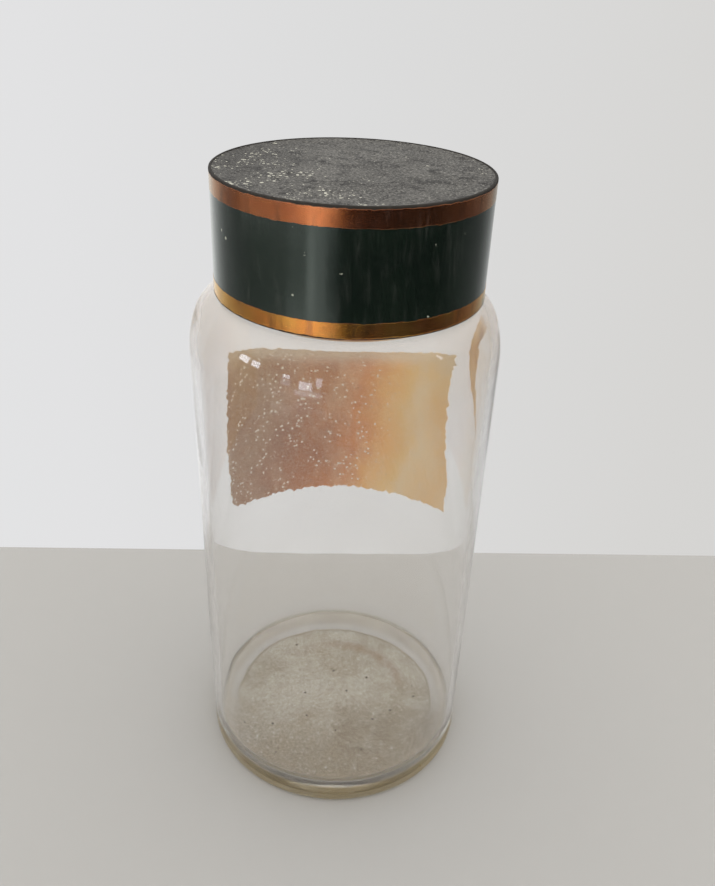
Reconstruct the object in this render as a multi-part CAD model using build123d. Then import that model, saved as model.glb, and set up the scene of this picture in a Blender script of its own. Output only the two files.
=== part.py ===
"""Tall glass storage jar with a lift-off tinplate lid.

Millimetres, +Z up. The origin is the centre of the base, on the surface the jar stands on,
and +Y points to the back, where the paper label is.
"""

from build123d import *
import math
import os

# Glass jar
BASE_RADIUS = 64.1
BODY_RADIUS = 65.1
GLASS_WALL = 3.3
HEEL_ROUND = 3.0
BEARING_WIDTH = 6.0
PUSH_UP = 2.2
FLOOR_LEVEL = 8.5
INNER_HEEL_ROUND = 8.0
SHOULDER_LEVEL = 214.0
SIDE_ROUND = 45.0
SIDE_TURN = 20.0
SHOULDER_ROUND = 16.0
NECK_RADIUS = 50.5
NECK_BLEND = 2.5
BEAD_RADIUS = 53.0
BEAD_LEVEL = 276.0
RIM_LEVEL = 283.4
RIM_ROUND = 2.2
RIM_INNER_ROUND = 1.6

# Lid, from rolled and soldered tinplate
SHEET = 0.45
SKIRT_RADIUS = 54.75
SKIRT_BOTTOM = 239.6
SKIRT_TOP = 286.6
HEM_HEIGHT = 4.0
LAP_WIDTH = 7.0
PLATE_SHEET = 0.4
FLANGE_GAP = 0.05
FLANGE_DEPTH = 3.0
SOLDER_LEG = 0.5
BAND_THICKNESS = 0.25
ENAMEL_THICKNESS = 0.18
UPPER_BAND_BOTTOM = 279.8
LOWER_BAND_TOP = 245.8
LIP_WIDTH = 1.1
LIP_THICKNESS = 0.2
LINER_RADIUS = 53.3
LINER_THICKNESS = 3.0

# Paper and dirt on the glass
LABEL_HALF_ANGLE = 59.0
LABEL_TURN = 2.5
LABEL_BOTTOM = 99.0
LABEL_TOP = 190.0
LABEL_THICKNESS = 0.3
STREAK_AZIMUTH = 19.0
STREAK_BOTTOM = 170.0
STREAK_TOP = 224.0
STREAK_WIDTH = 6.0
STREAK_BOW = 43.0
STREAK_CROWN = 0.62
STREAK_POINTS = 9
STREAK_THICKNESS = 0.25
RESIDUE_RADIUS = 51.0
RESIDUE_THICKNESS = 0.2

BACK = 90.0
FULL_TURN = 360.0


def wall_radius(level):
    """Outer radius at a height above the heel, up the tapered body and the shoulder's side."""
    if level > SHOULDER_LEVEL:
        rise = level - SHOULDER_LEVEL
        return BODY_RADIUS - SIDE_ROUND + math.sqrt(SIDE_ROUND**2 - rise**2)
    share = (level - HEEL_ROUND) / (SHOULDER_LEVEL - HEEL_ROUND)
    return BASE_RADIUS + share * (BODY_RADIUS - BASE_RADIUS)


def revolved(points, azimuth=0.0, turn=FULL_TURN):
    """Solid from a closed outline of (radius, height) points, centred on an azimuth."""
    outline = make_face(Plane.XZ * Polyline(*points, close=True))
    return Rot(0, 0, azimuth - turn / 2) * revolve(outline, Axis.Z, turn)


def ring(inner, outer, bottom, top, azimuth=0.0, turn=FULL_TURN):
    """Ring, or a piece of one, with a rectangular section."""
    return revolved([(inner, bottom), (outer, bottom), (outer, top), (inner, top)], azimuth, turn)


def glass_jar():
    """Blown jar: pushed-up base, thick floor, rounded shoulder, neck and fire-polished rim.

    The shoulder is a wide arc up the side, then a tighter one that runs into the neck's blend.
    Inner arcs share their centres with the outer ones, so the wall keeps its thickness.
    """
    side = Vector(BODY_RADIUS - SIDE_ROUND, SHOULDER_LEVEL)
    turn = Vector(math.cos(math.radians(SIDE_TURN)), math.sin(math.radians(SIDE_TURN)))
    shoulder = side + turn * (SIDE_ROUND - SHOULDER_ROUND)
    blend_radius = NECK_RADIUS + NECK_BLEND
    reach = SHOULDER_ROUND + NECK_BLEND
    rise = math.sqrt(reach**2 - (blend_radius - shoulder.X) ** 2)
    blend = Vector(blend_radius, shoulder.Y + rise)
    across = (blend - shoulder).normalized()

    def shoulder_wall(depth):
        """Corners of the shoulder's arcs, from the body up to the neck, at a depth in the wall."""
        return [
            (BODY_RADIUS - depth, SHOULDER_LEVEL),
            side + turn * (SIDE_ROUND - depth),
            shoulder + across * (SHOULDER_ROUND - depth),
            (NECK_RADIUS - depth, blend.Y),
        ]

    bearing_outer = BASE_RADIUS - HEEL_ROUND
    bearing_inner = bearing_outer - BEARING_WIDTH
    inner_neck = NECK_RADIUS - GLASS_WALL
    inner_heel = wall_radius(FLOOR_LEVEL + INNER_HEEL_ROUND) - GLASS_WALL
    lip = (BEAD_RADIUS - NECK_RADIUS) / 2
    body, side_end, shoulder_end, neck = shoulder_wall(0)
    inner_body, inner_side_end, inner_shoulder_end, inner_neck_start = shoulder_wall(GLASS_WALL)

    with BuildPart() as jar:
        with BuildSketch(Plane.XZ):
            with BuildLine():
                # Outside, from the centre of the base to the rim
                TangentArc((0, PUSH_UP), (bearing_inner, 0), tangent=(1, 0))
                Line((bearing_inner, 0), (bearing_outer, 0))
                TangentArc((bearing_outer, 0), (BASE_RADIUS, HEEL_ROUND), tangent=(1, 0))
                Line((BASE_RADIUS, HEEL_ROUND), body)
                TangentArc(body, side_end, tangent=(0, 1))
                TangentArc(side_end, shoulder_end, tangent=(-turn.Y, turn.X))
                TangentArc(neck, shoulder_end, tangent=(0, -1))
                Line(neck, (NECK_RADIUS, BEAD_LEVEL))
                TangentArc(
                    (NECK_RADIUS, BEAD_LEVEL), (NECK_RADIUS + lip, BEAD_LEVEL + lip), tangent=(0, 1)
                )
                TangentArc(
                    (NECK_RADIUS + lip, BEAD_LEVEL + lip),
                    (BEAD_RADIUS, BEAD_LEVEL + 2 * lip),
                    tangent=(1, 0),
                )
                Line((BEAD_RADIUS, BEAD_LEVEL + 2 * lip), (BEAD_RADIUS, RIM_LEVEL - RIM_ROUND))
                TangentArc(
                    (BEAD_RADIUS, RIM_LEVEL - RIM_ROUND),
                    (BEAD_RADIUS - RIM_ROUND, RIM_LEVEL),
                    tangent=(0, 1),
                )
                Line((BEAD_RADIUS - RIM_ROUND, RIM_LEVEL), (inner_neck + RIM_INNER_ROUND, RIM_LEVEL))
                # Inside, from the rim down to the centre of the floor
                TangentArc(
                    (inner_neck + RIM_INNER_ROUND, RIM_LEVEL),
                    (inner_neck, RIM_LEVEL - RIM_INNER_ROUND),
                    tangent=(-1, 0),
                )
                Line((inner_neck, RIM_LEVEL - RIM_INNER_ROUND), inner_neck_start)
                TangentArc(inner_neck_start, inner_shoulder_end, tangent=(0, -1))
                TangentArc(inner_side_end, inner_shoulder_end, tangent=(-turn.Y, turn.X))
                TangentArc(inner_body, inner_side_end, tangent=(0, 1))
                Line(inner_body, (inner_heel, FLOOR_LEVEL + INNER_HEEL_ROUND))
                TangentArc(
                    (inner_heel, FLOOR_LEVEL + INNER_HEEL_ROUND),
                    (inner_heel - INNER_HEEL_ROUND, FLOOR_LEVEL),
                    tangent=(0, -1),
                )
                Line((inner_heel - INNER_HEEL_ROUND, FLOOR_LEVEL), (0, FLOOR_LEVEL))
                Line((0, FLOOR_LEVEL), (0, PUSH_UP))
            make_face()
        revolve(axis=Axis.Z)
    return jar.part


def lid_skirt():
    """Rolled tinplate wall with a hem folded inside its lower edge and a lap at the back."""
    inner = SKIRT_RADIUS - SHEET
    folded = inner - SHEET
    hem_top = SKIRT_BOTTOM + HEM_HEIGHT
    wall = revolved(
        [
            (folded, SKIRT_BOTTOM),
            (SKIRT_RADIUS, SKIRT_BOTTOM),
            (SKIRT_RADIUS, SKIRT_TOP),
            (inner, SKIRT_TOP),
            (inner, hem_top),
            (folded, hem_top),
        ]
    )
    lap_turn = math.degrees(LAP_WIDTH / SKIRT_RADIUS)
    lap_top = SKIRT_TOP - FLANGE_DEPTH - SOLDER_LEG
    return wall + ring(folded, inner, hem_top, lap_top, BACK, lap_turn)


def side_seam_solder():
    """Run of solder along the inner edge of the skirt's lap."""
    inner = SKIRT_RADIUS - SHEET
    bottom = SKIRT_BOTTOM + HEM_HEIGHT
    top = SKIRT_TOP - FLANGE_DEPTH - SOLDER_LEG
    lap_turn = math.degrees(LAP_WIDTH / SKIRT_RADIUS)
    bead_turn = math.degrees(SOLDER_LEG / inner)
    azimuth = BACK + (lap_turn + bead_turn) / 2
    return ring(inner - SHEET / 2, inner, bottom, top, azimuth, bead_turn)


def lid_top_plate():
    """Flat disc with a flange turned down inside the skirt."""
    flange_outer = SKIRT_RADIUS - SHEET - FLANGE_GAP
    flange_inner = flange_outer - PLATE_SHEET
    return revolved(
        [
            (0, SKIRT_TOP),
            (flange_inner, SKIRT_TOP),
            (flange_inner, SKIRT_TOP - FLANGE_DEPTH),
            (flange_outer, SKIRT_TOP - FLANGE_DEPTH),
            (flange_outer, SKIRT_TOP),
            (SKIRT_RADIUS, SKIRT_TOP),
            (SKIRT_RADIUS, SKIRT_TOP + PLATE_SHEET),
            (0, SKIRT_TOP + PLATE_SHEET),
        ]
    )


def rim_solder():
    """Fillet of solder between the plate's flange and the skirt."""
    inner = SKIRT_RADIUS - SHEET
    level = SKIRT_TOP - FLANGE_DEPTH
    return revolved([(inner, level), (inner - SHEET, level), (inner, level - SOLDER_LEG)])


def upper_copper_band():
    """Copper strip round the top of the skirt, lapped over the plate's edge."""
    outer = SKIRT_RADIUS + BAND_THICKNESS
    plate_top = SKIRT_TOP + PLATE_SHEET
    return revolved(
        [
            (SKIRT_RADIUS, UPPER_BAND_BOTTOM),
            (outer, UPPER_BAND_BOTTOM),
            (outer, plate_top + LIP_THICKNESS),
            (outer - LIP_WIDTH, plate_top + LIP_THICKNESS),
            (outer - LIP_WIDTH, plate_top),
            (SKIRT_RADIUS, plate_top),
        ]
    )


def lower_copper_band():
    """Copper strip round the bottom of the skirt."""
    return ring(SKIRT_RADIUS, SKIRT_RADIUS + BAND_THICKNESS, SKIRT_BOTTOM, LOWER_BAND_TOP)


def green_enamel_band():
    """Dark green enamel between the two copper strips."""
    outer = SKIRT_RADIUS + ENAMEL_THICKNESS
    return ring(SKIRT_RADIUS, outer, LOWER_BAND_TOP, UPPER_BAND_BOTTOM)


def lid_liner():
    """Card disc inside the lid that sits on the jar's rim."""
    disc = Cylinder(LINER_RADIUS, LINER_THICKNESS, align=(Align.CENTER, Align.CENTER, Align.MIN))
    return Pos(0, 0, RIM_LEVEL) * disc


def paper_label():
    """Paper stuck round the back of the tapered body."""
    low = wall_radius(LABEL_BOTTOM)
    high = wall_radius(LABEL_TOP)
    return revolved(
        [
            (low, LABEL_BOTTOM),
            (low + LABEL_THICKNESS, LABEL_BOTTOM),
            (high + LABEL_THICKNESS, LABEL_TOP),
            (high, LABEL_TOP),
        ],
        BACK + LABEL_TURN,
        2 * LABEL_HALF_ANGLE,
    )


def paste_streak():
    """Dried run of paste down the side of the body, bowed and narrower at its foot."""
    across = []
    for i in range(STREAK_POINTS):
        share = i / (STREAK_POINTS - 1)
        half_width = STREAK_WIDTH / 2 * (0.4 + 0.6 * share)
        middle = -STREAK_BOW * (share - STREAK_CROWN) ** 2
        across.append((middle, half_width, STREAK_BOTTOM + share * (STREAK_TOP - STREAK_BOTTOM)))
    right = [(middle + half, level) for middle, half, level in across]
    left = [(middle - half, level) for middle, half, level in reversed(across)]
    cutter = Plane.YZ * make_face(Polyline(*right, *left, close=True))
    low = wall_radius(STREAK_BOTTOM)
    high = wall_radius(STREAK_TOP)
    skin = STREAK_THICKNESS
    with BuildLine(Plane.XZ) as outline:
        Line((low, STREAK_BOTTOM), (BODY_RADIUS, SHOULDER_LEVEL))
        TangentArc((BODY_RADIUS, SHOULDER_LEVEL), (high, STREAK_TOP), tangent=(0, 1))
        Line((high, STREAK_TOP), (high + skin, STREAK_TOP))
        TangentArc((BODY_RADIUS + skin, SHOULDER_LEVEL), (high + skin, STREAK_TOP), tangent=(0, 1))
        Line((BODY_RADIUS + skin, SHOULDER_LEVEL), (low + skin, STREAK_BOTTOM))
        Line((low + skin, STREAK_BOTTOM), (low, STREAK_BOTTOM))
    turn = math.degrees(STREAK_BOW / BODY_RADIUS)
    wrap = Rot(0, 0, -turn / 2) * revolve(make_face(outline.edges()), Axis.Z, turn)
    return Rot(0, 0, STREAK_AZIMUTH) * (wrap & extrude(cutter, 2 * BODY_RADIUS))


def floor_residue():
    """Thin film of dirt dried on the floor inside."""
    film = Cylinder(
        RESIDUE_RADIUS, RESIDUE_THICKNESS, align=(Align.CENTER, Align.CENTER, Align.MIN)
    )
    return Pos(0, 0, FLOOR_LEVEL) * film


PIECES = [
    glass_jar,
    lid_skirt,
    side_seam_solder,
    lid_top_plate,
    rim_solder,
    upper_copper_band,
    green_enamel_band,
    lower_copper_band,
    lid_liner,
    paper_label,
    paste_streak,
    floor_residue,
]

os.makedirs("parts", exist_ok=True)
for piece in PIECES:
    export_step(piece(), f"parts/{piece.__name__}.step")
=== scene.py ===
"""Looks of a lidded glass jar: blown glass, an old label, dirt, and a tin lid.

Metres, +Z up, origin at the centre of the base, +Y to the back, where the label is.
"""

import math

import bpy
from mathutils import Matrix, Vector, noise


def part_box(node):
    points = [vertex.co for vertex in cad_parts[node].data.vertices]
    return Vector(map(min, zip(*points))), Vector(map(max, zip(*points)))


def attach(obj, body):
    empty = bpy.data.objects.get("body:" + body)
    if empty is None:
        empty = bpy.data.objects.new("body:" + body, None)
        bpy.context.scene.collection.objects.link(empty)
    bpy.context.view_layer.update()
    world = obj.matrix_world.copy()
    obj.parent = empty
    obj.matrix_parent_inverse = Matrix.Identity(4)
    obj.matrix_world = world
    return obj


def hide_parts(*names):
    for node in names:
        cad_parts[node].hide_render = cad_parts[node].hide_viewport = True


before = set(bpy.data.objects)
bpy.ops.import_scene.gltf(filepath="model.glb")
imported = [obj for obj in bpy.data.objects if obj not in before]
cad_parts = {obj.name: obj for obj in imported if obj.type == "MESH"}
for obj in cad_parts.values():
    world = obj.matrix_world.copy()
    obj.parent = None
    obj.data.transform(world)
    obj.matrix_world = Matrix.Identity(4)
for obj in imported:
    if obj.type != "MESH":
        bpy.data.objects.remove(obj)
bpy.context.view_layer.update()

MM = 0.001
TAU = 2 * math.pi
SHARP_ANGLE = math.radians(38)
ON_AXIS = 0.001 * MM


def lowest(node):
    """Lowest corner of a CAD node's box."""
    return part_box(node)[0]


def highest(node):
    """Highest corner of a CAD node's box."""
    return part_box(node)[1]


# Camera, in front of the jar and looking down on it; angles in radians, lens in mm
CAMERA_BACK = 0.3385
CAMERA_UP = 0.3645
CAMERA_PITCH = 0.5323
CAMERA_YAW = 0.018
CAMERA_ROLL = -0.0449
CAMERA_LENS = 35.23

# Glass jar; what its box doesn't tell is as in the CAD, and SIDE_TURN is in degrees
BODY_RADIUS = -lowest("glass_jar").x
RIM_LEVEL = highest("glass_jar").z
FLOOR_LEVEL = lowest("floor_residue").z
BASE_RADIUS = BODY_RADIUS - 1.0 * MM
GLASS_WALL = 3.3 * MM
HEEL_ROUND = 3.0 * MM
BEARING_WIDTH = 6.0 * MM
PUSH_UP = 2.2 * MM
INNER_HEEL_ROUND = 8.0 * MM
SHOULDER_LEVEL = 214.0 * MM
SIDE_ROUND = 45.0 * MM
SIDE_TURN = 20.0
SHOULDER_ROUND = 16.0 * MM
NECK_RADIUS = 50.5 * MM
NECK_BLEND = 2.5 * MM
BEAD_LEVEL = 276.0 * MM
BEAD_REACH = 2.5 * MM
RIM_ROUND = 2.2 * MM
RIM_INNER_ROUND = 1.6 * MM

# The blown jar leans a little to the left, none of it in the neck, which the lid covers
LEAN = -1.0 * MM
LEAN_TOP = 226.0 * MM
LEAN_END = 244.0 * MM

# Paper label on the back and streak of paste on the right; angles are round the jar's axis
BACK = math.pi / 2
SKIN_GAP = 0.03 * MM
LABEL_LEFT = math.radians(62.5)
LABEL_RIGHT = math.radians(56.5)
LABEL_FLARE = math.radians(2.5)
LABEL_BOTTOM = lowest("paper_label").z + 1.5 * MM
LABEL_TOP = highest("paper_label").z - 2.8 * MM
LABEL_CORNER_RISE = 7.0 * MM
LABEL_SKIN = 0.25 * MM
STREAK_ANGLE = math.radians(19)
STREAK_CROWN = 0.62
STREAK_BOTTOM = lowest("paste_streak").z - 2.0 * MM
STREAK_TOP = highest("paste_streak").z + 3.0 * MM
STREAK_SHORT_BOTTOM = STREAK_TOP - 24.0 * MM

# Film of dirt on the floor
FILM_GAP = 0.3 * MM
FILM_SKIN = 0.15 * MM
FILM_EDGE = 54.6 * MM
STAIN_RADIUS = 39.0 * MM

# Lid
SKIRT_RADIUS = -lowest("lid_skirt").x
SKIRT_BOTTOM = lowest("lid_skirt").z
LOWER_BAND_TOP = lowest("green_enamel_band").z
UPPER_BAND_BOTTOM = highest("green_enamel_band").z
PLATE_TOP = highest("lid_top_plate").z
FLANGE_BOTTOM = lowest("lid_top_plate").z
LIP_TOP = highest("upper_copper_band").z
BAND_RADIUS = -lowest("upper_copper_band").x
ENAMEL_RADIUS = -lowest("green_enamel_band").x
LIP_WIDTH = 1.1 * MM
LIP_ROUND = 0.5 * MM
FOOT_ROUND = 0.2 * MM
SHEET = 0.45 * MM
PLATE_SHEET = 0.4 * MM
FLANGE_GAP = 0.05 * MM

# Stage: the wall's distance behind the jar's axis, its skew to the floor, and its reach
WALL_DISTANCE = 134.0 * MM
WALL_SKEW = 0.035
STAGE_REACH = 60.0


def srgb(red, green, blue):
    """Linear colour from a display colour of 0 to 255."""

    def linear(v):
        v /= 255
        return v / 12.92 if v <= 0.04045 else ((v + 0.055) / 1.055) ** 2.4

    return (linear(red), linear(green), linear(blue), 1.0)


# ---------------------------------------------------------------- camera


def make_camera():
    """Camera in front of the jar and above it, turned a little round its own axis."""
    pitch, yaw, roll = CAMERA_PITCH, CAMERA_YAW, CAMERA_ROLL
    ahead = Vector(
        (math.sin(yaw) * math.cos(pitch), math.cos(yaw) * math.cos(pitch), -math.sin(pitch))
    )
    level_right = Vector((math.cos(yaw), -math.sin(yaw), 0.0))
    level_down = ahead.cross(level_right)
    right = math.cos(roll) * level_right + math.sin(roll) * level_down
    down = -math.sin(roll) * level_right + math.cos(roll) * level_down
    data = bpy.data.cameras.new("camera")
    data.lens = CAMERA_LENS
    data.sensor_width = 36.0
    data.clip_start = 0.01
    camera = bpy.data.objects.new("camera", data)
    bpy.context.scene.collection.objects.link(camera)
    camera.matrix_world = Matrix(
        (
            (right.x, -down.x, -ahead.x, 0.0),
            (right.y, -down.y, -ahead.y, -CAMERA_BACK),
            (right.z, -down.z, -ahead.z, CAMERA_UP),
            (0.0, 0.0, 0.0, 1.0),
        )
    )
    bpy.context.scene.camera = camera


# ---------------------------------------------------------------- node helpers


class Nodes:
    """Builds the node tree of a material, or of the world, with short calls."""

    def __init__(self, name, world=False):
        self.owner = (bpy.data.worlds if world else bpy.data.materials).new(name)
        self.owner.use_nodes = True
        self.tree = self.owner.node_tree
        self.tree.nodes.clear()
        kind = "World" if world else "Material"
        self.output = self.tree.nodes.new("ShaderNodeOutput" + kind)
        place = self.tree.nodes.new("ShaderNodeTexCoord")
        self.place = place.outputs["Generated" if world else "Object"]

    def link(self, source, target):
        self.tree.links.new(source, target)

    def put(self, socket, value):
        """Sets a socket to a number or colour, or links it to another socket."""
        if isinstance(value, bpy.types.NodeSocket):
            self.link(value, socket)
        else:
            socket.default_value = value

    def scaled(self, scale):
        """The place in the object, scaled along each axis."""
        node = self.tree.nodes.new("ShaderNodeMapping")
        node.inputs["Scale"].default_value = scale
        self.link(self.place, node.inputs["Vector"])
        return node.outputs["Vector"]

    def noise(self, scale, detail=4.0, rough=0.55, vector=None):
        node = self.tree.nodes.new("ShaderNodeTexNoise")
        self.link(vector or self.place, node.inputs["Vector"])
        node.inputs["Scale"].default_value = scale
        node.inputs["Detail"].default_value = detail
        node.inputs["Roughness"].default_value = rough
        return node.outputs["Fac"]

    def spots(self, scale):
        """Distance to the nearest of many scattered points, as a share of their spacing."""
        node = self.tree.nodes.new("ShaderNodeTexVoronoi")
        self.link(self.place, node.inputs["Vector"])
        node.inputs["Scale"].default_value = scale
        return node.outputs["Distance"]

    def axis(self, name):
        node = self.tree.nodes.new("ShaderNodeSeparateXYZ")
        self.link(self.place, node.inputs["Vector"])
        return node.outputs[name]

    def math(self, operation, a, b=0.0, c=0.0, clamp=False):
        node = self.tree.nodes.new("ShaderNodeMath")
        node.operation = operation
        node.use_clamp = clamp
        for socket, value in zip(node.inputs, (a, b, c)):
            self.put(socket, value)
        return node.outputs["Value"]

    def times(self, a, b, clamp=False):
        return self.math("MULTIPLY", a, b, clamp=clamp)

    def plus(self, a, b, clamp=False):
        return self.math("ADD", a, b, clamp=clamp)

    def away(self, stretch=1.0):
        """Distance from the object's upright axis, counting Y stretched."""
        across = self.math("POWER", self.axis("X"), 2)
        along = self.math("POWER", self.times(self.axis("Y"), stretch), 2)
        return self.math("SQRT", self.plus(across, along))

    def ranged(self, value, low, high, to_low=0.0, to_high=1.0, smooth=True):
        """Maps low..high to to_low..to_high, clamped."""
        node = self.tree.nodes.new("ShaderNodeMapRange")
        node.interpolation_type = "SMOOTHSTEP" if smooth else "LINEAR"
        node.clamp = True
        self.put(node.inputs["Value"], value)
        node.inputs["From Min"].default_value = low
        node.inputs["From Max"].default_value = high
        node.inputs["To Min"].default_value = to_low
        node.inputs["To Max"].default_value = to_high
        return node.outputs["Result"]

    def mix(self, share, a, b, blend="MIX"):
        """Mixes two colours."""
        node = self.tree.nodes.new("ShaderNodeMix")
        node.data_type = "RGBA"
        node.blend_type = blend
        self.put(node.inputs[0], share)
        self.put(node.inputs[6], a)
        self.put(node.inputs[7], b)
        return node.outputs[2]

    def ramp(self, value, stops):
        """Colour that runs through stops of (place from 0 to 1, colour)."""
        node = self.tree.nodes.new("ShaderNodeValToRGB")
        elements = node.color_ramp.elements
        while len(elements) < len(stops):
            elements.new(0.5)
        for element, (where, colour) in zip(elements, stops):
            element.position = where
            element.color = colour
        self.link(value, node.inputs["Fac"])
        return node.outputs["Color"]

    def bump(self, height, distance, strength):
        node = self.tree.nodes.new("ShaderNodeBump")
        node.inputs["Strength"].default_value = strength
        node.inputs["Distance"].default_value = distance
        self.link(height, node.inputs["Height"])
        return node.outputs["Normal"]

    def blend(self, share, a, b):
        """Mixes two shaders."""
        node = self.tree.nodes.new("ShaderNodeMixShader")
        self.put(node.inputs[0], share)
        self.link(a, node.inputs[1])
        self.link(b, node.inputs[2])
        return node.outputs[0]

    def shader(self, kind, **values):
        """A shader node of the named kind, with its sockets set."""
        node = self.tree.nodes.new("ShaderNode" + kind)
        for name, value in values.items():
            self.put(node.inputs[name.replace("_", " ")], value)
        return node.outputs[0]

    def principled(self, **values):
        return self.shader("BsdfPrincipled", **values)

    def bounced(self):
        """1 for a ray that has met a matt surface on its way, 0 for the others."""
        path = self.tree.nodes.new("ShaderNodeLightPath").outputs
        return self.math("GREATER_THAN", path["Diffuse Depth"], 0.5)

    def outward(self):
        """1 on faces that look away from the object's upright axis, 0 on the others."""
        normal = self.tree.nodes.new("ShaderNodeTexCoord").outputs["Normal"]
        dot = self.tree.nodes.new("ShaderNodeVectorMath")
        dot.operation = "DOT_PRODUCT"
        self.link(normal, dot.inputs[0])
        self.link(self.scaled((1, 1, 0)), dot.inputs[1])
        return self.math("GREATER_THAN", dot.outputs["Value"], 0.0)

    def skin(self, shader):
        """Lets light leave a thin closed sheet through its far side."""
        inner = self.tree.nodes.new("ShaderNodeNewGeometry").outputs["Backfacing"]
        return self.blend(inner, shader, self.shader("BsdfTransparent"))

    def finish(self, shader):
        self.link(shader, self.output.inputs["Surface"])
        return self.owner


# ---------------------------------------------------------------- mesh helpers


def arc(centre, radius, start, end, steps):
    """Points on an arc between two angles in degrees, both ends included."""
    points = []
    for i in range(steps + 1):
        a = math.radians(start + (end - start) * i / steps)
        points.append((centre[0] + radius * math.cos(a), centre[1] + radius * math.sin(a)))
    return points


def run(start, end, steps):
    """Evenly spaced points after start, up to and including end."""
    return [
        (start[0] + (end[0] - start[0]) * i / steps, start[1] + (end[1] - start[1]) * i / steps)
        for i in range(1, steps + 1)
    ]


def mesh_object(name, vertices, faces, material):
    mesh = bpy.data.meshes.new(name)
    mesh.from_pydata(vertices, [], faces)
    mesh.update()
    mesh.polygons.foreach_set("use_smooth", [True] * len(mesh.polygons))
    mesh.set_sharp_from_angle(angle=SHARP_ANGLE)
    mesh.materials.append(material)
    piece = bpy.data.objects.new(name, mesh)
    bpy.context.scene.collection.objects.link(piece)
    return piece


def lathe(name, profile, segments, material, closed=True, shift=None):
    """Turns a profile of (radius, height) round Z. Points on the axis become one vertex.

    shift(point, row) moves each vertex and returns its new place."""
    vertices, rows = [], []
    for row, (radius, height) in enumerate(profile):
        points = segments if radius > ON_AXIS else 1
        rows.append([len(vertices) + j % points for j in range(segments)])
        for j in range(points):
            a = TAU * j / segments
            point = Vector((radius * math.cos(a), radius * math.sin(a), height))
            vertices.append(shift(point, row) if shift else point)
    faces = []
    pairs = list(zip(rows, rows[1:]))
    if closed:
        pairs.append((rows[-1], rows[0]))
    for low, high in pairs:
        for j in range(segments):
            k = (j + 1) % segments
            corners = [low[j], low[k], high[k], high[j]]
            face = list(dict.fromkeys(corners))
            if len(face) > 2:
                faces.append(face)
    return mesh_object(name, vertices, faces, material)


# ---------------------------------------------------------------- glass jar


def shoulder(depth):
    """Shoulder arcs from the body up into the neck, at a depth in the wall."""
    side = Vector((BODY_RADIUS - SIDE_ROUND, SHOULDER_LEVEL))
    turn = math.radians(SIDE_TURN)
    tight = side + Vector((math.cos(turn), math.sin(turn))) * (SIDE_ROUND - SHOULDER_ROUND)
    blend_radius = NECK_RADIUS + NECK_BLEND
    reach = SHOULDER_ROUND + NECK_BLEND
    blend = Vector((blend_radius, tight.y + math.sqrt(reach**2 - (blend_radius - tight.x) ** 2)))
    end = math.degrees(math.atan2(blend.y - tight.y, blend.x - tight.x))
    points = arc(side, SIDE_ROUND - depth, 0, SIDE_TURN, 16)
    points += arc(tight, SHOULDER_ROUND - depth, SIDE_TURN, end, 22)[1:]
    points += arc(blend, NECK_BLEND + depth, end - 180, -180, 8)[1:]
    return points


def outer_profile():
    """Outside of the glass from the centre of the base to the top of the rim."""
    heel_centre = (BASE_RADIUS - HEEL_ROUND, HEEL_ROUND)
    ring_inner = BASE_RADIUS - HEEL_ROUND - BEARING_WIDTH
    dome = (ring_inner**2 + PUSH_UP**2) / (2 * PUSH_UP)
    points = []
    for i in range(13):
        r = ring_inner * i / 12
        points.append((r, PUSH_UP - dome + math.sqrt(dome**2 - r**2)))
    points += run(points[-1], (heel_centre[0], 0.0), 3)
    points += arc(heel_centre, HEEL_ROUND, -90, 0, 10)[1:]
    points += run(points[-1], (BODY_RADIUS, SHOULDER_LEVEL), 60)
    points += shoulder(0)[1:]
    points += run(points[-1], (NECK_RADIUS, BEAD_LEVEL), 8)
    half = BEAD_REACH / 2
    points += arc((NECK_RADIUS + half, BEAD_LEVEL), half, 180, 90, 5)[1:]
    points += arc((NECK_RADIUS + half, BEAD_LEVEL + BEAD_REACH), half, -90, 0, 5)[1:]
    rim_outer = NECK_RADIUS + BEAD_REACH
    points += run(points[-1], (rim_outer, RIM_LEVEL - RIM_ROUND), 2)
    points += arc((rim_outer - RIM_ROUND, RIM_LEVEL - RIM_ROUND), RIM_ROUND, 0, 90, 8)[1:]
    return points


def inner_profile():
    """Inside of the glass from the rim down to the centre of the floor."""
    inner_neck = NECK_RADIUS - GLASS_WALL
    rim_centre = (inner_neck + RIM_INNER_ROUND, RIM_LEVEL - RIM_INNER_ROUND)
    points = arc(rim_centre, RIM_INNER_ROUND, 90, 180, 6)
    curve = shoulder(GLASS_WALL)[::-1]
    points += run(points[-1], curve[0], 8)
    points += curve[1:]
    heel_top = FLOOR_LEVEL + INNER_HEEL_ROUND
    heel_radius = wall_radius(heel_top) - GLASS_WALL
    points += run(points[-1], (heel_radius, heel_top), 60)
    points += arc((heel_radius - INNER_HEEL_ROUND, heel_top), INNER_HEEL_ROUND, 0, -90, 14)[1:]
    points += run(points[-1], (0.0, FLOOR_LEVEL), 12)
    return points


def wall_radius(level):
    """Outer radius of the glass at a height, up to the top of the shoulder's side."""
    if level > SHOULDER_LEVEL:
        rise = level - SHOULDER_LEVEL
        return BODY_RADIUS - SIDE_ROUND + math.sqrt(SIDE_ROUND**2 - rise**2)
    share = (level - HEEL_ROUND) / (SHOULDER_LEVEL - HEEL_ROUND)
    return BASE_RADIUS + share * (BODY_RADIUS - BASE_RADIUS)


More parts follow.
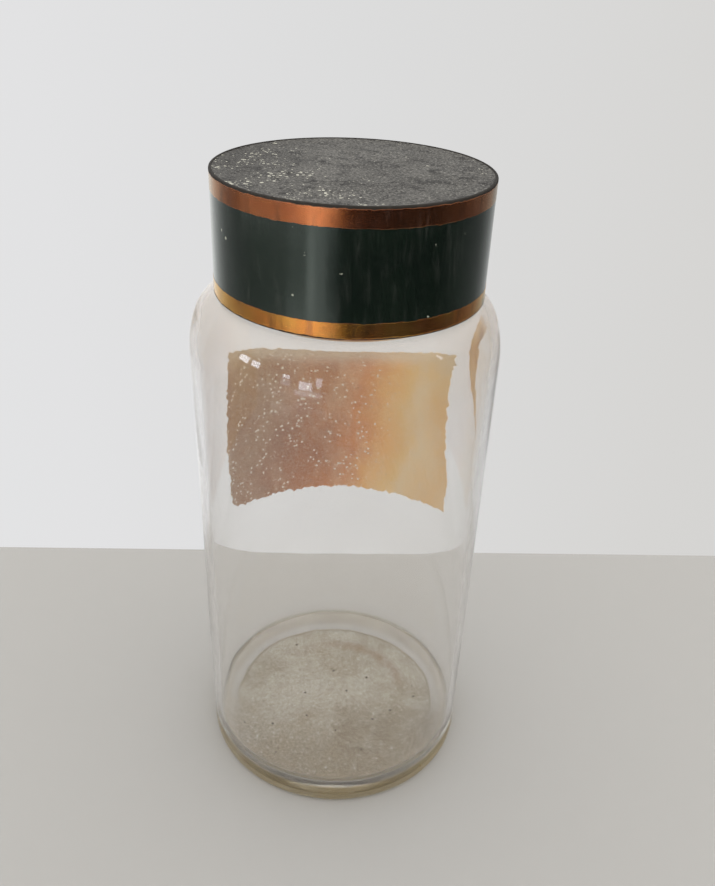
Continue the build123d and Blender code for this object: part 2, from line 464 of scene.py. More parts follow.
def hand_blown(point, inside=False):
    """Moves a point of the glass as a blower's hand does: slow waves and a slight lean."""
    radius = math.hypot(point.x, point.y)
    if radius < 1 * MM:
        return point
    seed = Vector((point.x * 22, point.y * 22, point.z * 9))
    apart = 40.0 if inside else 0.0
    wave = noise.noise(seed + Vector((0, 0, apart))) * 0.12 * MM
    wave += noise.noise(seed * 2.7 + Vector((5, 0, apart))) * 0.05 * MM
    above_heel = min(1.0, max(0.0, (point.z - 4 * MM) / (10 * MM)))
    below_neck = min(1.0, max(0.0, (LEAN_END - point.z) / (LEAN_END - LEAN_TOP)))
    below_neck = below_neck * below_neck * (3 - 2 * below_neck)
    stretch = 1 + wave * above_heel / radius
    lean = LEAN * min(point.z / LEAN_TOP, 1.0) * below_neck
    return Vector((point.x * stretch + lean, point.y * stretch, point.z))


def on_glass(angle, level, lift):
    """Point on the outside of the blown glass, lifted off it by a distance."""
    radius = wall_radius(level)
    surface = hand_blown(Vector((radius * math.cos(angle), radius * math.sin(angle), level)))
    return surface + Vector((math.cos(angle), math.sin(angle), 0)) * lift


def glass_material():
    """Clear glass with a film of dust; at the shoulder a warm painted reflection of the copper lid
    with painted shade under it, and at the heel a yellow-brown film of dirt that is also painted
    shade.
    """
    n = Nodes("glass")
    dust = n.noise(900, 3, 0.7)
    cloud = n.noise(26, 5, 0.6)
    level = n.axis("Z")
    inner_wall = BASE_RADIUS - GLASS_WALL
    outside = n.ranged(n.away(), inner_wall - 0.3 * MM, inner_wall + 1.0 * MM)
    thick = n.times(outside, n.ranged(level, FLOOR_LEVEL + 4.0 * MM, FLOOR_LEVEL + 1.0 * MM))
    tint = n.mix(thick, (0.998, 0.994, 0.986, 1.0), (0.84, 0.75, 0.52, 1.0))
    clear = n.principled(
        Base_Color=tint,
        Roughness=n.ranged(cloud, 0.5, 0.8, 0.0, 0.02),
        Transmission_Weight=1.0,
        IOR=1.47,
    )
    # the shoulder's haze turns warm and thicker: painted reflection of the copper lid, and painted
    # shade under it
    painted_lid_reflection = n.ranged(level, 196 * MM, 232 * MM)
    shade = n.mix(painted_lid_reflection, srgb(238, 233, 226), srgb(226, 198, 160))
    shade = n.mix(thick, shade, srgb(156, 137, 96))
    haze = n.blend(
        0.5, n.shader("BsdfDiffuse", Color=shade), n.shader("BsdfTranslucent", Color=shade)
    )
    film = n.ranged(cloud, 0.3, 0.8, 0.036, 0.06)
    film = n.plus(film, n.times(painted_lid_reflection, 0.05))
    grain = n.times(n.ranged(n.spots(420), 0.16, 0.05), n.ranged(dust, 0.5, 0.62))
    share = n.plus(film, n.times(grain, 0.3))
    # brown film on the outer heel: dirt, laid on evenly and thickly as painted shade over the
    # brighter light through the curved heel
    heel_dirt_and_painted_shade = n.ranged(cloud, 0.3, 0.7, 0.34, 0.5)
    share = n.plus(share, n.times(thick, heel_dirt_and_painted_shade), clamp=True)
    return n.finish(n.blend(share, clear, haze))


def make_glass():
    """The whole jar in one closed turn of its profile."""
    outer = outer_profile()

    def blow(point, row):
        return hand_blown(point, row >= len(outer))

    jar = lathe("jar_glass", outer + inner_profile(), 320, glass_material(), shift=blow)
    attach(jar, "jar")
    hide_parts("glass_jar")


# ---------------------------------------------------------------- label and dirt


def rough_edge(along, seed, size):
    """Torn-edge offset for a place along an edge."""
    wave = noise.noise(Vector((along * 5, seed, 0))) * 0.6
    wave += noise.noise(Vector((along * 17, seed, 3))) * 0.3
    wave += noise.noise(Vector((along * 13, seed + 0.5, 9.5))) * 1.2
    wave += noise.noise(Vector((along * 41, seed + 0.5, 7.5))) * 1.0
    return wave * size


def sheet_on_glass(name, columns, rows, place, material):
    """Thin closed sheet on the glass. place(u, v, layer) gives angle, level and lift."""
    vertices, faces = [], []
    for layer in (0, 1):
        for i in range(rows + 1):
            for j in range(columns + 1):
                vertices.append(on_glass(*place(j / columns, i / rows, layer)))
    size = (rows + 1) * (columns + 1)

    def at(i, j):
        return i * (columns + 1) + j

    for i in range(rows):
        for j in range(columns):
            quad = [at(i, j), at(i, j + 1), at(i + 1, j + 1), at(i + 1, j)]
            faces.append(quad)
            faces.append([k + size for k in reversed(quad)])
    border = [at(0, j) for j in range(columns)]
    border += [at(i, columns) for i in range(rows)]
    border += [at(rows, j) for j in range(columns, 0, -1)]
    border += [at(i, 0) for i in range(rows, 0, -1)]
    for a, b in zip(border, border[1:] + border[:1]):
        faces.append([b, a, a + size, b + size])
    return mesh_object(name, vertices, faces, material)


def paper_material():
    """Label seen through the glass from its glued side, brown to cream; aged paper outside."""
    n = Nodes("label_paper")
    wobble = n.times(n.math("SUBTRACT", n.noise(20, 4, 0.6), 0.5), 0.055)
    tilt = n.times(n.math("SUBTRACT", 146 * MM, n.axis("Z")), 0.22)
    place = n.plus(n.plus(n.axis("X"), wobble), tilt)
    tone = n.ramp(
        n.ranged(place, -55 * MM, 55 * MM, smooth=False),
        [
            (0.0, srgb(180, 134, 92)),
            (0.2, srgb(176, 114, 72)),
            (0.42, srgb(198, 118, 54)),
            (0.55, srgb(230, 142, 66)),
            (0.68, srgb(255, 190, 104)),
            (0.8, srgb(255, 208, 130)),
            (0.88, srgb(255, 222, 168)),
            (1.0, srgb(255, 208, 140)),
        ],
    )
    blotch = n.noise(45, 5, 0.65)
    left = n.ranged(place, 20 * MM, -10 * MM)
    strong = n.math("MULTIPLY_ADD", left, 0.75, 0.25)
    shade = n.times(n.ranged(blotch, 0.45, 0.75, 0, 0.4), strong)
    tone = n.mix(shade, tone, srgb(192, 156, 130), "MULTIPLY")
    sag = n.times(n.math("POWER", n.axis("X"), 2), -1.6)
    level = n.plus(n.plus(n.axis("Z"), sag), n.times(wobble, 0.2))
    top_band = n.ranged(level, 173.5 * MM, 185.5 * MM)
    tone = n.mix(n.times(top_band, 0.65), tone, srgb(236, 220, 192))
    stripe = n.noise(1.0, 3, 0.6, vector=n.scaled((70, 70, 28)))
    tone = n.mix(n.ranged(stripe, 0.45, 0.75, 0, 0.22), tone, srgb(255, 240, 208))
    fibre = n.noise(800, 4, 0.8)
    tone = n.mix(n.ranged(fibre, 0.54, 0.7, 0, 0.8), tone, srgb(252, 238, 212))
    dark = n.times(n.ranged(fibre, 0.46, 0.3, 0, 0.7), strong)
    tone = n.mix(dark, tone, srgb(120, 84, 60))
    # pale specks on the left of the label: dust on the front glass, painted here as glints of the
    # light from the left
    painted_glint_area = n.ranged(place, 45 * MM, 2 * MM)
    painted_glint_area = n.times(painted_glint_area, n.ranged(n.noise(90, 3, 0.6), 0.43, 0.54))
    dust_glints = n.math("LESS_THAN", n.spots(370), n.times(painted_glint_area, 0.27))
    tone = n.mix(n.times(dust_glints, 0.9), tone, srgb(248, 234, 210))
    stained = n.ranged(n.noise(35, 5, 0.7), 0.35, 0.7)
    aged = n.mix(stained, srgb(196, 181, 148), srgb(164, 141, 104))
    aged = n.mix(n.ranged(fibre, 0.56, 0.7, 0, 0.5), aged, srgb(140, 114, 82))
    tone = n.mix(n.outward(), tone, aged)
    height = n.plus(n.times(blotch, 1.5), fibre)
    front = n.shader("BsdfDiffuse", Color=tone, Normal=n.bump(height, 0.4 * MM, 0.5))
    through = n.shader("BsdfTranslucent", Color=tone)
    thin = n.math("MULTIPLY_ADD", left, -0.22, 0.72)
    return n.finish(n.skin(n.blend(thin, front, through)))


def hump(v, middle, reach):
    """A smooth bulge, 1 at its middle and about a third at its reach."""
    return math.exp(-(((v - middle) / reach) ** 2))


def label_place(u, v, layer):
    """Where a point of the label lies, u across it and v up it, from 0 to 1.

    The high powers act only close to an edge or a corner."""
    side = 2 * u - 1
    out = abs(side)
    low = LABEL_BOTTOM + LABEL_CORNER_RISE * out**2.5 + rough_edge(u * 4, 41, 1.2 * MM)
    high = LABEL_TOP + rough_edge(u * 4, 67, 0.9 * MM)
    if side < 0:
        half = LABEL_LEFT
        tear = rough_edge(v * 3, 11, 1.6 * MM)
        tear += 1.2 * MM * math.sin(math.pi * v) + 1.6 * MM * hump(v, 0.38, 0.2)
        low += 3.0 * MM * out**14 + 2.0 * MM * out**80
        high += 3.5 * MM * out**2 + 1.6 * MM * out**14
    else:
        half = LABEL_RIGHT
        tear = rough_edge(v * 3, 23, 1.6 * MM)
        tear += 1.2 * MM * v**14 + 2.6 * MM * hump(v, 0.2, 0.14) - 1.5 * MM * hump(v, 0.68, 0.25)
        high += 7.0 * MM * out**2
    reach = half + LABEL_FLARE * (1 - v) ** 2 + tear / BODY_RADIUS * out**6
    blister = max(0.0, noise.noise(Vector((side * 6, v * 5, 2)))) * 0.08 * MM
    lift = SKIN_GAP + layer * (LABEL_SKIN + blister)
    return BACK - side * reach, low + v * (high - low), lift


def streak_middle(level):
    """Angle of the streak at a height; it bows towards the back."""
    share = (level - STREAK_BOTTOM) / (STREAK_TOP - STREAK_BOTTOM)
    bow = 75 if share > STREAK_CROWN else 44
    return STREAK_ANGLE - math.radians(bow) * (share - STREAK_CROWN) ** 2


def streak_sheet(name, bottom, widths, seed, material, spread=0.0):
    """One strand of paste. Its width goes from widths[0] at its foot to widths[1] higher up,
    and it leaves the streak's middle by spread on its way up."""

    def place(u, v, layer):
        level = bottom + v * (STREAK_TOP - bottom)
        width = widths[0] + (widths[1] - widths[0]) * min(1.0, 2.4 * v)
        width *= 1 + 0.3 * noise.noise(Vector((v * 9, seed, 0)))
        across = (u - 0.5) * width - spread * v**0.8 + rough_edge(v * 1.4, seed, 0.8 * MM)
        across += rough_edge(v * 5, seed + 6 if u < 0.5 else seed + 18, 0.5 * MM)
        lift = layer * (0.08 + 0.12 * math.sin(math.pi * u)) * MM
        return streak_middle(level) + across / BODY_RADIUS, level, SKIN_GAP + lift

    return sheet_on_glass(name, 8, 120, place, material)


def paste_material():
    """Dried paste that thins out into gaps at the top of the streak."""
    n = Nodes("dried_paste")
    grain = n.noise(800, 4, 0.7)
    tone = n.mix(n.ranged(n.noise(120), 0.35, 0.65), srgb(240, 218, 180), srgb(220, 190, 146))
    tone = n.mix(n.ranged(grain, 0.55, 0.75, 0, 0.6), tone, srgb(254, 244, 224))
    front = n.shader("BsdfDiffuse", Color=tone, Normal=n.bump(grain, 0.3 * MM, 0.6))
    through = n.shader("BsdfTranslucent", Color=tone)
    solid = n.blend(0.5, front, through)
    fade = n.ranged(n.axis("Z"), STREAK_TOP - 11 * MM, STREAK_TOP)
    gaps = n.times(fade, n.ranged(n.noise(300, 3), 0.35, 0.5), clamp=True)
    return n.finish(n.skin(n.blend(gaps, solid, n.shader("BsdfTransparent"))))


def residue_material():
    """Cloudy film of dirt with a curved brown stain and flecks, paler outside its own edge."""
    n = Nodes("floor_dirt")
    across, along = n.axis("X"), n.axis("Y")
    cloud = n.noise(45, 5, 0.65)
    grain = n.noise(800, 4, 0.8)
    tone = n.mix(n.ranged(cloud, 0.35, 0.65), srgb(224, 217, 200), srgb(190, 179, 157))
    tone = n.mix(n.ranged(along, 0, -45 * MM, 0, 0.8), tone, srgb(168, 150, 122))
    tone = n.mix(n.ranged(grain, 0.54, 0.7, 0, 0.7), tone, srgb(250, 247, 238))
    tone = n.mix(n.ranged(grain, 0.46, 0.3, 0, 0.6), tone, srgb(150, 134, 108))
    mottle = n.noise(430, 4, 0.8)
    tone = n.mix(n.ranged(mottle, 0.54, 0.68, 0, 0.42), tone, srgb(248, 244, 234))
    tone = n.mix(n.ranged(mottle, 0.47, 0.34, 0, 0.42), tone, srgb(142, 127, 102))
    broad = n.ranged(n.noise(24, 4, 0.7), 0.5, 0.68)
    broad = n.times(broad, n.ranged(along, 30 * MM, -30 * MM, 0.08, 0.6))
    tone = n.mix(broad, tone, srgb(146, 130, 106))

    wander = n.times(cloud, 5 * MM)
    off = n.math("ABSOLUTE", n.math("SUBTRACT", n.plus(n.away(), wander), STAIN_RADIUS))
    stain = n.ranged(off, 5.0 * MM, 0.4 * MM)
    stain = n.times(stain, n.ranged(across, -34 * MM, 18 * MM))
    stain = n.times(stain, n.ranged(along, 2 * MM, 14 * MM))
    stain = n.times(stain, n.ranged(n.noise(200, 3, 0.6), 0.3, 0.55, 0.4, 1.0))
    tone = n.mix(n.times(stain, 0.45), tone, srgb(164, 126, 86))
    flecks = n.math("LESS_THAN", n.spots(95), 0.066)
    tone = n.mix(flecks, tone, srgb(70, 58, 46))

    oval = n.plus(n.away(stretch=1.08), wander)
    border = n.ranged(oval, FILM_EDGE - 1.2 * MM, FILM_EDGE + 0.2 * MM)
    border = n.times(border, n.ranged(along, -20 * MM, 10 * MM))
    tone = n.mix(n.times(border, 0.5), tone, srgb(150, 136, 108))
    cover = n.plus(0.6, n.ranged(cloud, 0.3, 0.7, 0, 0.12))
    cover = n.plus(cover, n.ranged(grain, 0.5, 0.75, 0, 0.2), clamp=True)
    cover = n.math("MAXIMUM", cover, flecks)
    inner = n.ranged(oval, FILM_EDGE + 1.6 * MM, FILM_EDGE)
    inner = n.math("MAXIMUM", inner, n.ranged(along, 12 * MM, -22 * MM))
    tone = n.mix(inner, srgb(240, 236, 228), tone)
    fade = n.ranged(n.axis("Z"), FLOOR_LEVEL + 6.2 * MM, FLOOR_LEVEL + 3.3 * MM)
    cover = n.times(cover, n.math("MULTIPLY_ADD", inner, 0.32, 0.68))
    cover = n.times(cover, fade)
    matt = n.shader("BsdfDiffuse", Color=tone)
    dirt = n.blend(0.3, matt, n.shader("BsdfTranslucent", Color=tone))
    return n.finish(n.skin(n.blend(cover, n.shader("BsdfTransparent"), dirt)))


def residue_profile():
    """Film on the floor and up the inside of the heel."""
    heel_top = FLOOR_LEVEL + INNER_HEEL_ROUND
    centre = (wall_radius(heel_top) - GLASS_WALL - INNER_HEEL_ROUND, heel_top)
    under = INNER_HEEL_ROUND - FILM_GAP
    points = [(0.0, FLOOR_LEVEL + FILM_GAP)]
    points += run(points[-1], (centre[0], FLOOR_LEVEL + FILM_GAP), 16)
    points += arc(centre, under, -90, -15, 14)[1:]
    points += arc(centre, under - FILM_SKIN, -16, -90, 14)
    points += run(points[-1], (0.0, FLOOR_LEVEL + FILM_GAP + FILM_SKIN), 16)
    return points


def make_label_and_dirt():
    label = sheet_on_glass("back_label", 150, 100, label_place, paper_material())
    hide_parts("paper_label")
    paste = paste_material()
    strands = [
        streak_sheet("streak_long", STREAK_BOTTOM, (0.6 * MM, 9.5 * MM), 5, paste),
        streak_sheet(
            "streak_short", STREAK_SHORT_BOTTOM, (1.0 * MM, 4.0 * MM), 47, paste, spread=9.0 * MM
        ),
    ]
    for strand in strands:
        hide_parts("paste_streak")
    residue = lathe("floor_dirt", residue_profile(), 160, residue_material(), closed=False)
    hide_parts("floor_residue")
    for piece in [label, residue] + strands:
        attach(piece, "jar")


# ---------------------------------------------------------------- lid


def paint_material(name, bright, deep):
    """Copper strips and green enamel; the borders between them wander a little."""
    n = Nodes(name)
    level = n.axis("Z")
    slow = n.noise(40, 4, 0.6)
    fine = n.noise(420, 4, 0.7)
    ragged = n.times(n.math("SUBTRACT", n.noise(230, 4, 0.7), 0.5), 1.4 * MM)
    place = n.plus(level, ragged)
    soft = 0.12 * MM
    upper = n.ranged(place, UPPER_BAND_BOTTOM - soft, UPPER_BAND_BOTTOM + soft)
    lower = n.ranged(place, LOWER_BAND_TOP + soft, LOWER_BAND_TOP - soft)
    strip = n.plus(upper, lower, clamp=True)

    copper = n.mix(n.ranged(n.noise(60, 3, 0.5), 0.3, 0.7), bright, deep)
    drawn = n.noise(1.0, 3, 0.5, vector=n.scaled((260, 260, 40)))
    copper = n.mix(n.ranged(drawn, 0.5, 0.75, 0, 0.4), copper, srgb(120, 66, 44))
    tarnish = n.ranged(n.noise(90, 4, 0.5), 0.56, 0.8)
    copper = n.mix(n.times(tarnish, 0.75), copper, srgb(86, 46, 34))
    green = n.mix(n.ranged(slow, 0.3, 0.7), srgb(8, 17, 12), srgb(13, 23, 16))
    paint = n.mix(strip, green, copper)

    # dark lip and foot of the bands: tarnish, darkened further and stripped of gloss as painted shade
    # of the rolled edges
    lip_tarnish_and_shade = n.ranged(place, LIP_TOP - 1.2 * MM, LIP_TOP - 0.7 * MM)
    foot_tarnish_and_shade = n.ranged(place, SKIRT_BOTTOM + 0.8 * MM, SKIRT_BOTTOM + 0.4 * MM)
    edge_tarnish_and_shade = n.plus(lip_tarnish_and_shade, foot_tarnish_and_shade, clamp=True)
    paint = n.mix(edge_tarnish_and_shade, paint, srgb(34, 26, 21))
    specks = n.times(n.ranged(n.spots(110), 0.085, 0.05), n.ranged(fine, 0.48, 0.52))
    specks = n.times(specks, n.math("SUBTRACT", 1.0, strip))
    paint = n.mix(specks, paint, srgb(150, 150, 136))

    whole = n.math("SUBTRACT", 1.0, edge_tarnish_and_shade)
    bare = n.times(strip, n.math("SUBTRACT", 1.0, n.math("MAXIMUM", edge_tarnish_and_shade, specks)))
    grip = n.times(strip, 0.10)
    scuff = n.ranged(n.noise(1.0, 4, 0.7, vector=n.scaled((420, 420, 60))), 0.45, 0.75)
    scuff = n.times(scuff, n.ranged(n.noise(70, 3, 0.6), 0.4, 0.65))
    roughness = n.plus(n.plus(0.14, grip), n.times(fine, 0.04))
    roughness = n.plus(roughness, n.times(edge_tarnish_and_shade, 0.4), clamp=True)
    relief = n.plus(n.times(slow, 6.0), n.times(fine, 0.18))
    gloss = n.principled(
        Base_Color=paint,
        Metallic=bare,
        Roughness=roughness,
        Specular_IOR_Level=n.math("MULTIPLY_ADD", edge_tarnish_and_shade, -0.55, 0.8),
        Specular_Tint=(0.88, 1.0, 0.9, 1.0),
        Coat_Weight=n.times(n.math("MULTIPLY_ADD", strip, 0.2, 0.25), whole),
        Coat_Roughness=0.1,
        Coat_Tint=(0.92, 1.0, 0.94, 1.0),
        Normal=n.bump(relief, 0.08 * MM, 0.3),
    )
    dust = n.shader("BsdfDiffuse", Color=srgb(150, 146, 140))
    share = n.ranged(n.noise(300, 4, 0.7), 0.4, 0.75, 0.003, 0.03)
    share = n.times(share, n.math("MULTIPLY_ADD", strip, -0.1, 0.4))
    share = n.plus(share, n.times(strip, 0.011))
    share = n.plus(share, n.times(scuff, 0.05))
    return n.finish(n.blend(share, gloss, dust))


def top_material():
    """Bare tin, dark with oxide, with soot and with pale dots that crowd to the left."""
    n = Nodes("oxidised_tin")
    across, along = n.axis("X"), n.axis("Y")
    broad = n.noise(28, 6, 0.65)
    middle = n.noise(150, 6, 0.75)
    fine = n.noise(900, 4, 0.75)
    tone = n.mix(n.ranged(broad, 0.3, 0.7), srgb(68, 65, 60), srgb(91, 88, 82))
    tone = n.mix(n.ranged(middle, 0.5, 0.62, 0, 0.9), tone, srgb(42, 38, 34))
    tone = n.mix(n.ranged(fine, 0.51, 0.62, 0, 0.85), tone, srgb(30, 27, 23))
    tone = n.mix(n.ranged(fine, 0.47, 0.34, 0, 0.75), tone, srgb(136, 133, 124))
    tone = n.mix(n.ranged(across, -10 * MM, -45 * MM, 0, 0.35), tone, srgb(40, 37, 32))
    soot = n.times(n.ranged(n.noise(75, 5, 0.7), 0.56, 0.66), 0.55)
    tone = n.mix(soot, tone, srgb(36, 33, 28))

    left = n.plus(across, n.times(along, 0.5))
    left = n.ranged(left, 30 * MM, -45 * MM)
    patchy = n.ranged(n.noise(60, 4, 0.75), 0.4, 0.62)
    crowd = n.times(left, patchy)
    crowd = n.plus(crowd, n.ranged(n.noise(90, 3, 0.6), 0.58, 0.7, 0, 0.7), clamp=True)
    dots = n.math("LESS_THAN", n.spots(560), n.times(crowd, 0.42))
    dots = n.times(dots, n.ranged(n.noise(420, 3, 0.7), 0.47, 0.52))
    tone = n.mix(n.times(dots, 0.9), tone, srgb(184, 181, 164))

    # darker ring on the plate just inside the lip: painted shade of the recess, with tarnish
    rim = n.plus(n.away(), n.times(middle, 1.5 * MM))
    rim = n.ranged(rim, BAND_RADIUS - 1.2 * MM, BAND_RADIUS + 0.2 * MM)
    tone = n.mix(n.times(rim, 0.75), tone, srgb(44, 38, 33))
    height = n.plus(n.times(middle, 2.0), fine)
    height = n.plus(height, n.times(dots, 0.8))
    return n.finish(
        n.principled(
            Base_Color=tone,
            Metallic=0.15,
            Roughness=0.6,
            Specular_IOR_Level=0.35,
            Normal=n.bump(height, 0.4 * MM, 0.7),
        )
    )


def metal_material(name, light, dark, rough):
    """Dull sheet metal or solder of two blotchy tones."""
    n = Nodes(name)
    blotch = n.noise(90, 5, 0.7)
    fine = n.noise(700, 4, 0.7)
    tone = n.mix(n.ranged(blotch, 0.35, 0.68), light, dark)
    tone = n.mix(n.ranged(fine, 0.62, 0.76, 0, 0.5), tone, srgb(96, 66, 44))
    roughness = n.plus(rough, n.times(fine, 0.2))
    return n.finish(
        n.principled(
            Base_Color=tone, Metallic=0.85, Roughness=roughness, Normal=n.bump(fine, 0.1 * MM, 0.5)
        )
    )


def card_material():
    """Old brown card with fibres."""
    n = Nodes("liner_card")
    blotch = n.noise(50, 5, 0.65)
    fibre = n.noise(1.0, 5, 0.7, vector=n.scaled((900, 300, 900)))
    tone = n.mix(n.ranged(blotch, 0.3, 0.7), srgb(176, 156, 124), srgb(146, 122, 90))
    tone = n.mix(n.ranged(fibre, 0.55, 0.75, 0, 0.5), tone, srgb(112, 90, 64))
    return n.finish(
        n.principled(Base_Color=tone, Roughness=0.9, Normal=n.bump(fibre, 0.3 * MM, 0.5))
    )


def dented(point, row):
    """Slight unevenness of the lid's sheet metal, none at its edge."""
    radius = math.hypot(point.x, point.y)
    share = min(1.0, max(0.0, (BAND_RADIUS - LIP_WIDTH - radius) / (6 * MM)))
    dent = noise.noise(Vector((point.x * 38, point.y * 38, 4))) * 0.5 * MM
    dent += noise.noise(Vector((point.x * 110, point.y * 110, 9))) * 0.14 * MM
    return point + Vector((0, 0, min(0.15 * MM, dent - 0.25 * MM) * share))


def make_top():
    """Top plate with its inner flange, its underside following the same dents."""
    flange = SKIRT_RADIUS - SHEET - FLANGE_GAP
    under = PLATE_TOP - PLATE_SHEET
    profile = [(0.0, under)]
    profile += run(profile[-1], (flange - PLATE_SHEET, under), 60)
    profile += [(flange - PLATE_SHEET, FLANGE_BOTTOM), (flange, FLANGE_BOTTOM)]
    profile += [(flange, under), (SKIRT_RADIUS, under), (SKIRT_RADIUS, PLATE_TOP)]
    profile += run(profile[-1], (0.0, PLATE_TOP), 66)
    plate = lathe("plate_top", profile, 240, top_material(), closed=False, shift=dented)
    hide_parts("lid_top_plate")
    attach(plate, "lid")


def make_lid():
    """The two copper bands, the enamel, the top plate and the finishes of the CAD's own tin."""
    profile = [(SKIRT_RADIUS, UPPER_BAND_BOTTOM), (BAND_RADIUS, UPPER_BAND_BOTTOM)]
    profile += run(profile[-1], (BAND_RADIUS, LIP_TOP - LIP_ROUND), 8)
    profile += arc((BAND_RADIUS - LIP_ROUND, LIP_TOP - LIP_ROUND), LIP_ROUND, 0, 90, 6)[1:]
    profile += run(profile[-1], (BAND_RADIUS - LIP_WIDTH, LIP_TOP), 2)
    profile += [(BAND_RADIUS - LIP_WIDTH, PLATE_TOP), (SKIRT_RADIUS, PLATE_TOP)]
    # the upper band's copper, darker and redder than the lower band's: painted shade on the same
    # copper
    copper_in_painted_shade = paint_material("upper_copper", srgb(200, 118, 68), srgb(176, 96, 54))
    upper = lathe("band_upper", profile, 320, copper_in_painted_shade)
    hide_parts("upper_copper_band")

    profile = [(SKIRT_RADIUS, SKIRT_BOTTOM)]
    foot = (BAND_RADIUS - FOOT_ROUND, SKIRT_BOTTOM + FOOT_ROUND)
    profile += arc(foot, FOOT_ROUND, -90, 0, 4)
    profile += run(profile[-1], (BAND_RADIUS, LOWER_BAND_TOP), 8)
    profile += [(SKIRT_RADIUS, LOWER_BAND_TOP)]
    # the lower band's copper, brighter and more golden: painted highlight on the same copper
    copper_with_painted_highlight = paint_material("lower_copper", srgb(255, 184, 82), srgb(236, 146, 66))
    lower = lathe("band_lower", profile, 320, copper_with_painted_highlight)
    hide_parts("lower_copper_band")

    profile = [(SKIRT_RADIUS, LOWER_BAND_TOP), (ENAMEL_RADIUS, LOWER_BAND_TOP)]
    profile += run(profile[-1], (ENAMEL_RADIUS, UPPER_BAND_BOTTOM), 24)
    profile += [(SKIRT_RADIUS, UPPER_BAND_BOTTOM)]
    coat = paint_material("green_enamel", srgb(214, 140, 90), srgb(190, 110, 70))
    green = lathe("band_green", profile, 320, coat)
    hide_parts("green_enamel_band")

    for piece, slot in ((upper, "copper_band"), (lower, "copper_band"), (green, "green_enamel")):
        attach(piece, "lid")
    make_top()
    tin = metal_material("tinplate", srgb(172, 168, 160), srgb(134, 126, 116), 0.32)
    solder = metal_material("solder", srgb(150, 150, 152), srgb(108, 106, 106), 0.45)
    finishes = {
        "lid_skirt": tin,
        "side_seam_solder": solder,
        "rim_solder": solder,
        "lid_liner": card_material(),
    }
    for node, material in finishes.items():
        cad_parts[node].material_slots[0].material = material


# ---------------------------------------------------------------- stage


def floor_material():
    """Plain pale floor. The object gets an even glow from it, as from a wide studio table."""
    n = Nodes("floor")
    plain = n.shader("BsdfDiffuse", Color=srgb(145, 143, 139))
    glow = n.shader("Emission", Color=(1.0, 0.985, 0.96, 1.0), Strength=0.9)
    return n.finish(n.blend(n.bounced(), plain, glow))


def wall_material():
    """Pale wall that glows, a little darker to the right: painted falloff of the light from
    the left. It isn't there when seen from behind, and it takes no daylight from the object."""
    n = Nodes("wall")
    # darker to the right: painted falloff of the light from the left
    white = n.ramp(
        n.ranged(n.axis("X"), -410 * MM, 410 * MM, smooth=False),
        [
            (0.0, srgb(229, 230, 231)),
            (0.3, srgb(226, 226, 227)),
            (0.5, srgb(220, 220, 220)),
            (0.75, srgb(214, 213, 211)),
            (1.0, srgb(211, 210, 208)),
        ],
    )
    glow = n.shader("Emission", Color=white, Strength=1.0)
    return n.finish(n.skin(n.blend(n.bounced(), glow, n.shader("BsdfTransparent"))))


def world_directions(n):
    """A direction's azimuth and height in degrees, and its share to the right.

    Azimuth 0 is to the front, 90 to the right and -90 to the left."""
    split = n.tree.nodes.new("ShaderNodeSeparateXYZ")
    n.link(n.place, split.inputs["Vector"])
    front = n.times(split.outputs["Y"], -1.0)
    azimuth = n.math("DEGREES", n.math("ARCTAN2", split.outputs["X"], front))
    height = n.math("DEGREES", n.math("ARCSINE", split.outputs["Z"]))
    return azimuth, height, split.outputs["X"]


def patch(n, azimuth, height, left, right, low, high, soft):
    """1 inside a window of directions, 0 outside it, with soft edges."""
    share = n.ranged(azimuth, left - soft, left + soft)
    share = n.times(share, n.ranged(azimuth, right + soft, right - soft))
    share = n.times(share, n.ranged(height, low - soft, low + soft))
    return n.times(share, n.ranged(height, high + soft, high - soft))


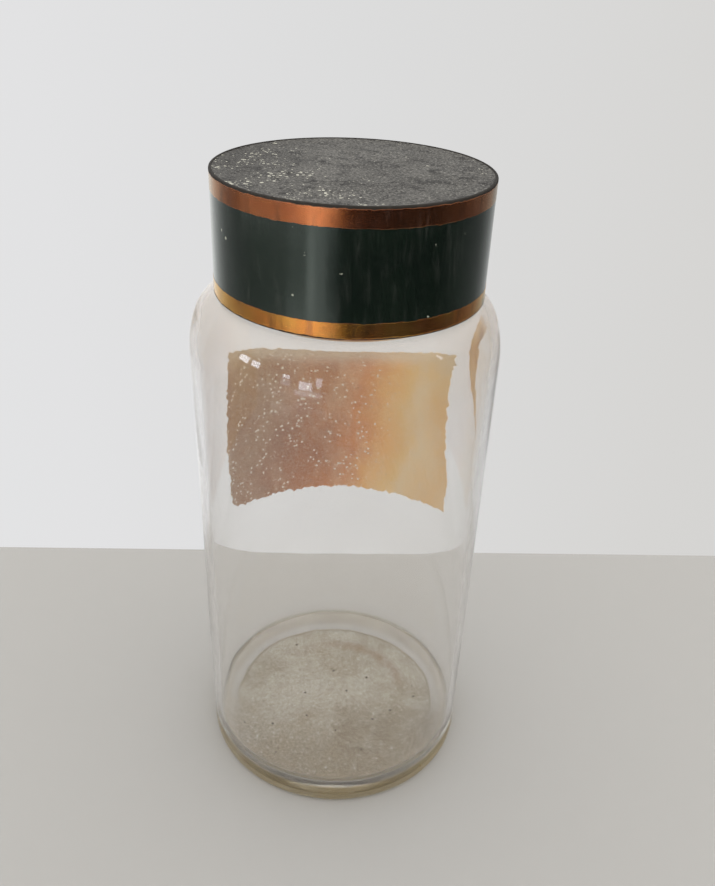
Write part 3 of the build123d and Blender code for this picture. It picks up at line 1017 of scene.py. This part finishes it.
def make_world():
    """Even white light, and for reflections a room with a dark front and most windows to the left."""
    n = Nodes("studio", world=True)
    azimuth, height, sideways = world_directions(n)
    room = n.ramp(
        n.ranged(azimuth, -180, 180, smooth=False),
        [
            (at / 360 + 0.5, (v, v, v, 1.0))
            for at, v in (
                (-180, 1.0),
                (-152, 1.0),
                (-120, 0.34),
                (-88, 0.13),
                (-64, 0.22),
                (-42, 0.3),
                (-12, 0.025),
                (75, 0.02),
                (125, 0.18),
                (155, 0.5),
                (180, 0.9),
            )
        ],
    )
    up = n.ranged(height, 14, 40)
    room = n.mix(up, room, (0.75, 0.75, 0.75, 1.0))
    room = n.mix(n.ranged(height, -30, -40), room, (0.4, 0.39, 0.37, 1.0))

    def patches(lights):
        """Sum of lights given as (strength, softness, (left, right, low, high)), in degrees."""
        total = 0.0
        for strength, soft, place in lights:
            light = n.times(patch(n, azimuth, height, *place, soft), strength)
            total = n.plus(total, light)
        return total

    lamps = patches(
        (
            (0.66, 3.0, (-34, -19, -22.6, -16.4)),
            (0.6, 1.6, (-34, -28, -22.6, -16.4)),
            (0.66, 3.0, (-48, -10, -16.6, -4)),
            (0.42, 2.0, (-96, -46, -16.0, -6)),
            (0.95, 3.0, (-52, -10, -28, -22.4)),
            (0.22, 3.0, (-92, -50, -28, -23.2)),
        )
    )
    windows = patches(
        (
            (12.0, 0.8, (-79, -71, 4, 13)),
            (12.0, 0.8, (-68, -61, 4, 11)),
            (10.0, 0.6, (-42, -37, 3, 7)),
            (3.0, 1.0, (-43, -36, -4, 2)),
            (9.0, 0.6, (-30, -21, -5, 3)),
            (7.0, 0.6, (-18.5, -14.5, 0, 9)),
            (3.0, 1.2, (-33, -15, -11, -6)),
            (6.0, 0.6, (73, 76, 16, 29)),
        )
    )
    glare = n.mix(1.0, windows, (0.88, 0.97, 1.12, 1.0), "MULTIPLY")
    reflected = n.mix(1.0, n.mix(1.0, room, lamps, "ADD"), glare, "ADD")
    # backdrop seen straight, darker to the right: painted falloff of the light from the left
    wall = n.math("MULTIPLY_ADD", sideways, -0.1, 0.72)
    below = n.ranged(height, 0, -3)
    plain = n.mix(below, wall, (0.47, 0.465, 0.45, 1.0))
    path = n.tree.nodes.new("ShaderNodeLightPath").outputs
    mirrored = n.math("GREATER_THAN", path["Glossy Depth"], 0.5)
    straight = n.math("LESS_THAN", path["Diffuse Depth"], 0.5)
    outside = n.math("LESS_THAN", path["Transmission Depth"], 0.5)
    share = n.times(mirrored, outside)
    seen = n.mix(share, plain, reflected)
    light = n.mix(straight, (2.0, 2.0, 2.01, 1.0), seen)
    world = n.finish(n.shader("Background", Color=light))
    world.cycles.sampling_method = "NONE"
    bpy.context.scene.world = world


def make_stage():
    """Floor, wall behind the jar, light, and the bounces that the thick glass needs."""
    far = STAGE_REACH
    corners = [(-far, -far, 0), (far, -far, 0), (far, far, 0), (-far, far, 0)]
    floor = mesh_object("floor", corners, [(0, 1, 2, 3)], floor_material())
    floor.visible_glossy = False
    left, right = WALL_DISTANCE - WALL_SKEW * far, WALL_DISTANCE + WALL_SKEW * far
    corners = [(-far, left, 0), (far, right, 0), (far, right, far), (-far, left, far)]
    wall = mesh_object("wall", corners, [(0, 1, 2, 3)], wall_material())
    wall.visible_glossy = False
    wall.visible_diffuse = False
    make_world()
    scene = bpy.context.scene
    scene.view_settings.view_transform = "Standard"
    scene.cycles.max_bounces = 32
    scene.cycles.glossy_bounces = 16
    scene.cycles.transmission_bounces = 24
    scene.cycles.transparent_max_bounces = 16


make_camera()
make_stage()
make_glass()
make_label_and_dirt()
make_lid()
